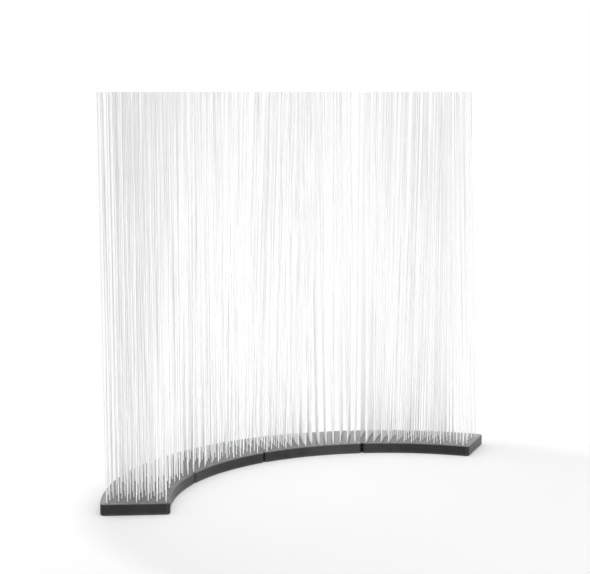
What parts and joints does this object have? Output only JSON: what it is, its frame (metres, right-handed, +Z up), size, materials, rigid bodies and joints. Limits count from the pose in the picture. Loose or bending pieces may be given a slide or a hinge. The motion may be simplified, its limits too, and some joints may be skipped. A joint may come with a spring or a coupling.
{
  "type": "stick room divider",
  "caption": "Free-standing curved screen: rubber base blocks butted end to end in an arc, planted with a field of thin upright glass-fibre sticks that lean slightly.",
  "frame": {"origin": "on the floor, in the middle of the whole outline's box as seen from above", "axes": "+Z up; +X along the screen's length, from its left end to its right end as seen from the hollow side; +Y from the hollow side towards the outer side"},
  "size_m": [2.2812, 0.7889, 1.8],
  "materials": {
    "moulded_rubber": "matte",
    "glass_fibre_rod": "satin"
  },
  "bodies": {
    "root": {"base_block_1": "moulded_rubber", "block_1_stick_row_01": "glass_fibre_rod", "block_1_stick_row_02": "glass_fibre_rod", "block_1_stick_row_03": "glass_fibre_rod", "block_1_stick_row_04": "glass_fibre_rod", "block_1_stick_row_05": "glass_fibre_rod", "block_1_stick_row_06": "glass_fibre_rod", "block_1_stick_row_07": "glass_fibre_rod", "block_1_stick_row_08": "glass_fibre_rod", "block_1_stick_row_09": "glass_fibre_rod", "block_1_stick_row_10": "glass_fibre_rod", "block_1_stick_row_11": "glass_fibre_rod", "base_block_2": "moulded_rubber", "block_2_stick_row_01": "glass_fibre_rod", "block_2_stick_row_02": "glass_fibre_rod", "block_2_stick_row_03": "glass_fibre_rod", "block_2_stick_row_04": "glass_fibre_rod", "block_2_stick_row_05": "glass_fibre_rod", "block_2_stick_row_06": "glass_fibre_rod", "block_2_stick_row_07": "glass_fibre_rod", "block_2_stick_row_08": "glass_fibre_rod", "block_2_stick_row_09": "glass_fibre_rod", "block_2_stick_row_10": "glass_fibre_rod", "block_2_stick_row_11": "glass_fibre_rod", "base_block_3": "moulded_rubber", "block_3_stick_row_01": "glass_fibre_rod", "block_3_stick_row_02": "glass_fibre_rod", "block_3_stick_row_03": "glass_fibre_rod", "block_3_stick_row_04": "glass_fibre_rod", "block_3_stick_row_05": "glass_fibre_rod", "block_3_stick_row_06": "glass_fibre_rod", "block_3_stick_row_07": "glass_fibre_rod", "block_3_stick_row_08": "glass_fibre_rod", "block_3_stick_row_09": "glass_fibre_rod", "block_3_stick_row_10": "glass_fibre_rod", "block_3_stick_row_11": "glass_fibre_rod", "base_block_4": "moulded_rubber", "block_4_stick_row_01": "glass_fibre_rod", "block_4_stick_row_02": "glass_fibre_rod", "block_4_stick_row_03": "glass_fibre_rod", "block_4_stick_row_04": "glass_fibre_rod", "block_4_stick_row_05": "glass_fibre_rod", "block_4_stick_row_06": "glass_fibre_rod", "block_4_stick_row_07": "glass_fibre_rod", "block_4_stick_row_08": "glass_fibre_rod", "block_4_stick_row_09": "glass_fibre_rod", "block_4_stick_row_10": "glass_fibre_rod", "block_4_stick_row_11": "glass_fibre_rod"}
  },
  "joints": []
}
